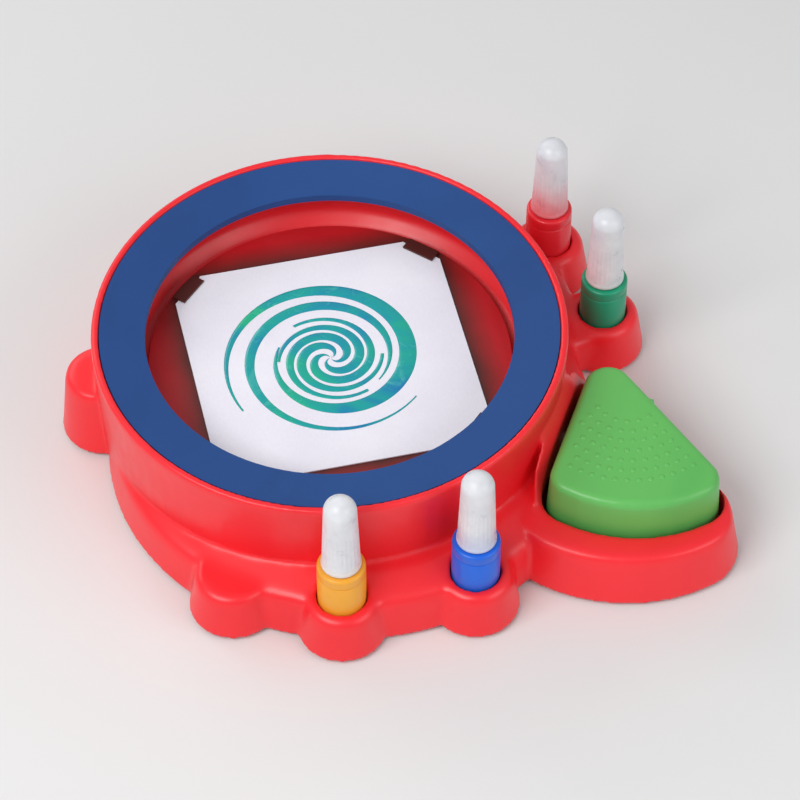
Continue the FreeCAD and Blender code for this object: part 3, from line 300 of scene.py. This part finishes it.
# Mesh helpers
def mesh_piece(name, verts, faces, material, body):
    mesh = bpy.data.meshes.new(name)
    mesh.from_pydata(verts, [], faces)
    mesh.validate()
    mesh.update()
    for face in mesh.polygons:
        face.use_smooth = True
    thing = bpy.data.objects.new(name, mesh)
    bpy.context.scene.collection.objects.link(thing)
    mesh.materials.append(material)
    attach(thing, body)
    return thing


def ring_faces(rows, count, closed=True):
    faces = []
    for row in range(rows - 1):
        for i in range(count if closed else count - 1):
            j = (i + 1) % count
            faces.append((row * count + i, row * count + j, (row + 1) * count + j, (row + 1) * count + i))
    return faces


def smooth_profile(points, passes=2):
    """Cut the corners of an open profile, its ends kept."""
    for _ in range(passes):
        cut = [points[0]]
        for a, b in zip(points, points[1:]):
            cut.append(tuple(0.75 * p + 0.25 * q for p, q in zip(a, b)))
            cut.append(tuple(0.25 * p + 0.75 * q for p, q in zip(a, b)))
        cut.append(points[-1])
        points = cut
    return points


def lathe(name, profile, centre, material, body, count=72, flutes=0, flute_depth=0.0, flute_span=(0, 0)):
    """A turned piece; flutes are shallow grooves over a span of heights."""
    verts = []
    for radius, height in profile:
        for i in range(count):
            angle = 2 * math.pi * i / count
            depth = 0.0
            if flutes and flute_span[0] < height < flute_span[1]:
                ease = min(1.0, (height - flute_span[0]) / 0.0015, (flute_span[1] - height) / 0.0015)
                depth = flute_depth * ease * (0.5 - 0.5 * math.cos(flutes * angle))
            r = max(radius - depth, 0.0)
            verts.append((centre[0] + r * math.cos(angle), centre[1] + r * math.sin(angle), height))
    return mesh_piece(name, verts, ring_faces(len(profile), count), material, body)


# Housing skin: the moulded shell with its corners run together as a mould leaves them
def centre_of(node):
    low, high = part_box(node)
    return (low.x + high.x) / 2, (low.y + high.y) / 2


def ease(value, low, high):
    t = np.clip((value - low) / (high - low), 0.0, 1.0)
    return t * t * (3 - 2 * t)


def apply_modifiers(thing):
    graph = bpy.context.evaluated_depsgraph_get()
    mesh = bpy.data.meshes.new_from_object(thing.evaluated_get(graph))
    thing.modifiers.clear()
    old = thing.data
    thing.data = mesh
    bpy.data.meshes.remove(old)


def points_of(thing):
    co = np.empty(len(thing.data.vertices) * 3)
    thing.data.vertices.foreach_get("co", co)
    return co.reshape(-1, 3)


def weigh(thing, name, weights):
    """A vertex group in steps of a twentieth."""
    group = thing.vertex_groups.new(name=name)
    steps = np.round(weights * 20).astype(int)
    for step in range(1, 21):
        members = np.nonzero(steps == step)[0].tolist()
        if members:
            group.add(members, step / 20, "REPLACE")


def smooth(thing, name, rounds):
    modifier = thing.modifiers.new("smooth_" + name, "SMOOTH")
    modifier.factor = 0.5
    modifier.iterations = rounds
    modifier.vertex_group = name


def keep_foot_flat(thing, height):
    """Smoothing may move the foot's edge sideways, but not up or down."""
    co = points_of(thing)
    foot = height < FOOT_ZONE
    co[foot, 2] = height[foot] * MM
    thing.data.vertices.foreach_set("co", co.ravel())
    thing.data.update()


def even_copy(node, name, voxel):
    """A copy of a node's mesh in an even grid of small faces."""
    thing = bpy.data.objects.new(name, NODES[node].data.copy())
    bpy.context.scene.collection.objects.link(thing)
    remesh = thing.modifiers.new("remesh", "REMESH")
    remesh.mode = "VOXEL"
    remesh.voxel_size = voxel
    remesh.adaptivity = 0.0
    apply_modifiers(thing)
    return thing


def coat(thing, material):
    thing.data.materials.clear()
    thing.data.materials.append(material)
    for face in thing.data.polygons:
        face.use_smooth = True


def housing_skin():
    """The shell with soft corners outside, but sharp round the tubes and the pad."""
    thing = even_copy("upper_housing", "housing_skin", SKIN_VOXEL)
    co = points_of(thing) / MM
    reach = np.hypot(co[:, 0], co[:, 1])
    height = co[:, 2]
    outside = ease(reach, 87.5, 91.5) * ease(height, 2.2, 5.0)
    clear = np.ones(len(co))
    for name in TUBES:
        x, y = centre_of(name + "_bottle")
        away = np.hypot(co[:, 0] - x / MM, co[:, 1] - y / MM)
        clear *= np.where(height > 12, ease(away, 10.2, 13.0), 1.0)
    near_pad = pad_distance(co[:, 0], co[:, 1])
    clear *= np.where(height > 12, ease(near_pad, 2.2, 5.0), 1.0)
    weigh(thing, "blend", outside * clear)
    weigh(thing, "light", np.ones(len(co)))
    smooth(thing, "blend", SKIN_ROUNDS)
    smooth(thing, "light", LIGHT_ROUNDS)
    apply_modifiers(thing)
    keep_foot_flat(thing, height)
    coat(thing, MATERIALS["red_shell"])
    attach(thing, "base")
    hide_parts("upper_housing")


def pad_distance(x, y):
    """Distance outside the pad's core outline grown by its corner, in millimetres."""
    best = np.full(len(x), 1e9)
    count = len(PAD_CORE)
    sign = np.ones(len(x))
    for i in range(count):
        ax, ay = PAD_CORE[i]
        bx, by = PAD_CORE[(i + 1) % count]
        dx, dy = bx - ax, by - ay
        t = np.clip(((x - ax) * dx + (y - ay) * dy) / (dx * dx + dy * dy), 0, 1)
        best = np.minimum(best, np.hypot(x - ax - t * dx, y - ay - t * dy))
        crosses = ((ay > y) != (by > y)) & (x < (bx - ax) * (y - ay) / ((by - ay) or 1e-9) + ax)
        sign = np.where(crosses, -sign, sign)
    return best * sign - PAD_CORNER


def pad_skin():
    """The pad's shell in an even mesh, its edges a little softened."""
    thing = even_copy("push_pad", "pad_skin", PAD_VOXEL)
    weigh(thing, "light", np.ones(len(thing.data.vertices)))
    smooth(thing, "light", PAD_ROUNDS)
    apply_modifiers(thing)
    coat(thing, MATERIALS["green_pad"])
    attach(thing, "lever")
    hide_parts("push_pad")


housing_skin()
pad_skin()


# Grip dots on the pad
def grip_dots():
    """Low domes in arcs, kept away from the pad's edge."""
    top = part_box("push_pad")[1].z
    first_row, pitch, dot_radius, dot_rise, dot_sink, edge = 12, 4.6, 1.05, 0.4, 0.06, 5.5
    verts = []
    faces = []
    rings, around = 4, 14
    for row in range(7):
        radius = first_row + pitch * row
        count = int(radius * 2.4 / pitch)
        for i in range(count + 1):
            angle = math.radians(205 + 125 * (i + 0.5 * (row % 2)) / max(count, 1))
            x = 110 + radius * math.cos(angle)
            y = -20 + radius * math.sin(angle)
            if pad_distance(np.array([x]), np.array([y]))[0] > -edge:
                continue
            base = len(verts)
            for ring in range(rings + 1):
                bend = math.pi / 2 * ring / rings
                r = dot_radius * math.cos(bend)
                lift = dot_rise * math.sin(bend) - dot_sink
                for k in range(around):
                    turn = 2 * math.pi * k / around
                    verts.append(((x + r * math.cos(turn)) * MM, (y + r * math.sin(turn)) * MM, top + lift * MM))
            faces += [tuple(base + v for v in face) for face in ring_faces(rings + 1, around)]
            faces.append(tuple(base + rings * around + k for k in range(around)))
    mesh_piece("pad_grip_dots", verts, faces, MATERIALS["green_pad"], "lever")


grip_dots()


# Paint tubes: bottle and cap
CAPS = {
    "yellow": cap_plastic("cap_over_yellow", TINTS["yellow"], 0.006, 0.30),
    "blue": cap_plastic("cap_over_blue", TINTS["blue"], 0.014, 0.34),
    "green": cap_plastic("cap_over_green", TINTS["green"], 0.008, 0.28),
    "red": cap_plastic("cap_over_red", TINTS["red"], 0.020, 0.85),
}


def tube(name, tint_name):
    low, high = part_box(name + "_bottle")
    cap_low, cap_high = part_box(name + "_cap")
    centre = ((low.x + high.x) / 2, (low.y + high.y) / 2)
    radius = (high.x - low.x) / 2
    neck_top = high.z
    shoulder = cap_low.z - 0.3 * MM
    material = MATERIALS["tube_" + tint_name]
    band = shoulder - 4.6 * MM
    body = smooth_profile([
        (0.0, low.z), (radius - 2.2 * MM, low.z), (radius - 0.2 * MM, low.z + 0.3 * MM),
        (radius - 0.05 * MM, low.z + 2.4 * MM), (radius - 0.02 * MM, low.z + 8 * MM),
    ]) + [
        (radius, band - 0.5 * MM), (radius - 0.12 * MM, band - 0.3 * MM), (radius - 0.4 * MM, band - 0.1 * MM),
        (radius - 0.4 * MM, band + 0.1 * MM), (radius - 0.12 * MM, band + 0.3 * MM), (radius, band + 0.5 * MM),
    ] + smooth_profile([
        (radius, band + 0.7 * MM), (radius, shoulder - 2.4 * MM), (radius - 0.1 * MM, shoulder - 0.3 * MM),
        (radius - 1.6 * MM, shoulder), (radius - 3.2 * MM, shoulder),
    ]) + [
        (5.2 * MM, shoulder), (5.2 * MM, neck_top), (4.2 * MM, neck_top), (4.2 * MM, shoulder - 1 * MM),
        (radius - 2 * MM, shoulder - 1.2 * MM), (radius - 1 * MM, shoulder - 3 * MM),
        (radius - 1 * MM, low.z + 1.6 * MM), (0.0, low.z + 1.2 * MM),
    ]
    bottle = lathe(name + "_bottle_body", body, centre, material, name)
    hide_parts(name + "_bottle")
    cap_radius = (cap_high.x - cap_low.x) / 2
    top = cap_high.z
    waist = cap_radius - 1.3 * MM
    outside = [
        (cap_radius - 0.5 * MM, cap_low.z), (cap_radius, cap_low.z + 0.5 * MM), (cap_radius, cap_low.z + 1.6 * MM),
        (cap_radius - 0.25 * MM, cap_low.z + 2.0 * MM),
    ]
    steps = 14
    start = cap_low.z + 2.4 * MM
    end = top - 5.6 * MM
    for i in range(steps + 1):
        t = i / steps
        outside.append((cap_radius - 0.3 * MM + t * (waist - cap_radius + 0.3 * MM), start + t * (end - start)))
    for i in range(1, 13):
        angle = math.pi / 2 * i / 12
        outside.append((waist * math.cos(angle), end + 5.6 * MM * math.sin(angle)))
    inside = [(max(r - 1.0 * MM, 0.0), min(z, top - 1.1 * MM)) for r, z in reversed(outside)]
    cap = lathe(
        name + "_cap_body", outside + inside, centre, CAPS[tint_name], name + "_cap",
        96, 24, 0.22 * MM, (cap_low.z + 2.6 * MM, cap_low.z + 21 * MM),
    )
    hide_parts(name + "_cap")


for tube_name, tint_name in zip(TUBES, ("yellow", "blue", "green", "red")):
    tube(tube_name, tint_name)


# Paint on the card: tapering spiral strokes that lie a little proud of the paper
CARD_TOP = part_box("paper_card")[1].z


def stroke(start_angle, turns, inner, outer, width, taper, height, grow):
    """A spiral ribbon with a domed section; width is given along its length by taper."""
    steps = int(150 * turns) + 20
    across = 9
    verts = []
    for i in range(steps + 1):
        t = i / steps
        angle = start_angle + 2 * math.pi * turns * t
        radius = inner + (outer - inner) * t ** grow
        half = max(width * taper(t), 0.04 * MM)
        for k in range(across):
            s = -1 + 2 * k / (across - 1)
            r = radius + half * s
            lift = height * max(0.0, 1 - s * s) ** 0.6 * min(1.0, half / (0.7 * MM))
            verts.append((r * math.cos(angle), r * math.sin(angle), CARD_TOP + 0.02 * MM + lift))
    faces = ring_faces(steps + 1, across, closed=False)
    return verts, faces


def join_strokes(name, strokes, material, body):
    verts = []
    faces = []
    for stroke_verts, stroke_faces in strokes:
        base = len(verts)
        verts += stroke_verts
        faces += [tuple(base + index for index in face) for face in stroke_faces]
    return mesh_piece(name, verts, faces, material, body)


def swell(t, peak, low):
    """Width along a stroke: thin at its start, widest at peak, thin again at its tail."""
    side = t / peak if t < peak else (1 - t) / (1 - peak)
    return low + (1 - low) * math.sin(math.pi / 2 * max(side, 0.0)) ** 1.3


strokes = []
for arm in range(4):
    longer = arm % 2
    strokes.append(stroke(
        math.radians(90 * arm + 35), 0.92 + 0.1 * longer, 1.0 * MM, (19.5 + 1.5 * longer) * MM, 2.0 * MM,
        lambda t: swell(t, 0.35, 0.34), 0.3 * MM, 0.82,
    ))
strokes.append(stroke(
    math.radians(165), 1.15, 20 * MM, 41 * MM, 3.3 * MM, lambda t: swell(t, 0.48, 0.12), 0.35 * MM, 1.15,
))
strokes.append(stroke(
    math.radians(330), 1.0, 21 * MM, 37 * MM, 2.2 * MM, lambda t: swell(t, 0.4, 0.14), 0.3 * MM, 1.05,
))
join_strokes("paint_swirl", strokes, wet_paint(), "rotor")


# Return spring: a steel coil put in the node's place
def spring():
    low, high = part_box("return_spring")
    bottom = low.z + SPRING_WIRE
    top = high.z - SPRING_WIRE
    turns = 6
    steps = 40 * turns
    around = 10
    verts = []
    for i in range(steps + 1):
        t = i / steps
        angle = 2 * math.pi * turns * t
        out = Vector((math.cos(angle), math.sin(angle), 0))
        middle = Vector((*SPRING_PLACE, bottom + (top - bottom) * t)) + out * SPRING_RADIUS
        for k in range(around):
            turn = 2 * math.pi * k / around
            point = middle + (out * math.cos(turn) + Vector((0, 0, 1)) * math.sin(turn)) * SPRING_WIRE
            verts.append(tuple(point))
    faces = ring_faces(steps + 1, around)
    faces.append(tuple(reversed(range(around))))
    faces.append(tuple(range(steps * around, (steps + 1) * around)))
    piece = mesh_piece("return_spring_coil", verts, faces, MATERIALS["steel"], "base")
    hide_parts("return_spring")
    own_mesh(piece)


spring()


# Stage: floor, lights and camera
def stage():
    verts = []
    faces = []
    size, count = 2.4, 24
    for j in range(count + 1):
        for i in range(count + 1):
            verts.append(((i / count - 0.5) * 2 * size, (j / count - 0.5) * 2 * size, -0.0002))
    for j in range(count):
        for i in range(count):
            a = j * (count + 1) + i
            faces.append((a, a + 1, a + count + 2, a + count + 1))
    mesh = bpy.data.meshes.new("studio_floor")
    mesh.from_pydata(verts, [], faces)
    floor = bpy.data.objects.new("studio_floor", mesh)
    bpy.context.scene.collection.objects.link(floor)
    n = Nodes("floor_paint")
    n.link(n.mix(n.noise(5, 3), (0.74, 0.74, 0.73), (0.78, 0.78, 0.77)), n.shader.inputs["Base Color"])
    n.set(Roughness=0.8)
    mesh.materials.append(n.mat)


def lamp(name, place, target, size, power):
    data = bpy.data.lights.new(name, "AREA")
    data.shape = "RECTANGLE"
    data.size, data.size_y = size
    data.energy = power
    thing = bpy.data.objects.new(name, data)
    thing.location = place
    thing.rotation_euler = (Vector(target) - Vector(place)).to_track_quat("-Z", "Y").to_euler()
    bpy.context.scene.collection.objects.link(thing)


def camera(azimuth, elevation, distance, target, lens):
    a, e = math.radians(azimuth), math.radians(elevation)
    back = Vector((math.sin(a) * math.cos(e), -math.cos(a) * math.cos(e), math.sin(e)))
    data = bpy.data.cameras.new("camera")
    data.lens = lens
    data.sensor_width = 36
    data.clip_start = 0.05
    thing = bpy.data.objects.new("camera", data)
    thing.location = Vector(target) + back * distance
    thing.rotation_euler = (-back).to_track_quat("-Z", "Y").to_euler()
    bpy.context.scene.collection.objects.link(thing)
    bpy.context.scene.camera = thing


stage()
lamp("key", (-0.55, -0.60, 1.0), (0, 0, 0), (0.8, 0.6), 9.4)
lamp("fill", (0.95, -0.55, 0.7), (0.02, 0, 0), (0.8, 0.8), 4.0)
lamp("back", (-0.75, 0.85, 0.75), (0, 0, 0.02), (0.9, 0.5), 3.4)
world = bpy.data.worlds.new("studio")
bpy.context.scene.world = world
world.use_nodes = True
world.node_tree.nodes["Background"].inputs["Color"].default_value = (0.95, 0.96, 1.0, 1)
world.node_tree.nodes["Background"].inputs["Strength"].default_value = 0.43
camera(0, 50, 1.25, (0.026, -0.010, 0.024), 150)
bpy.context.scene.view_settings.view_transform = "Standard"
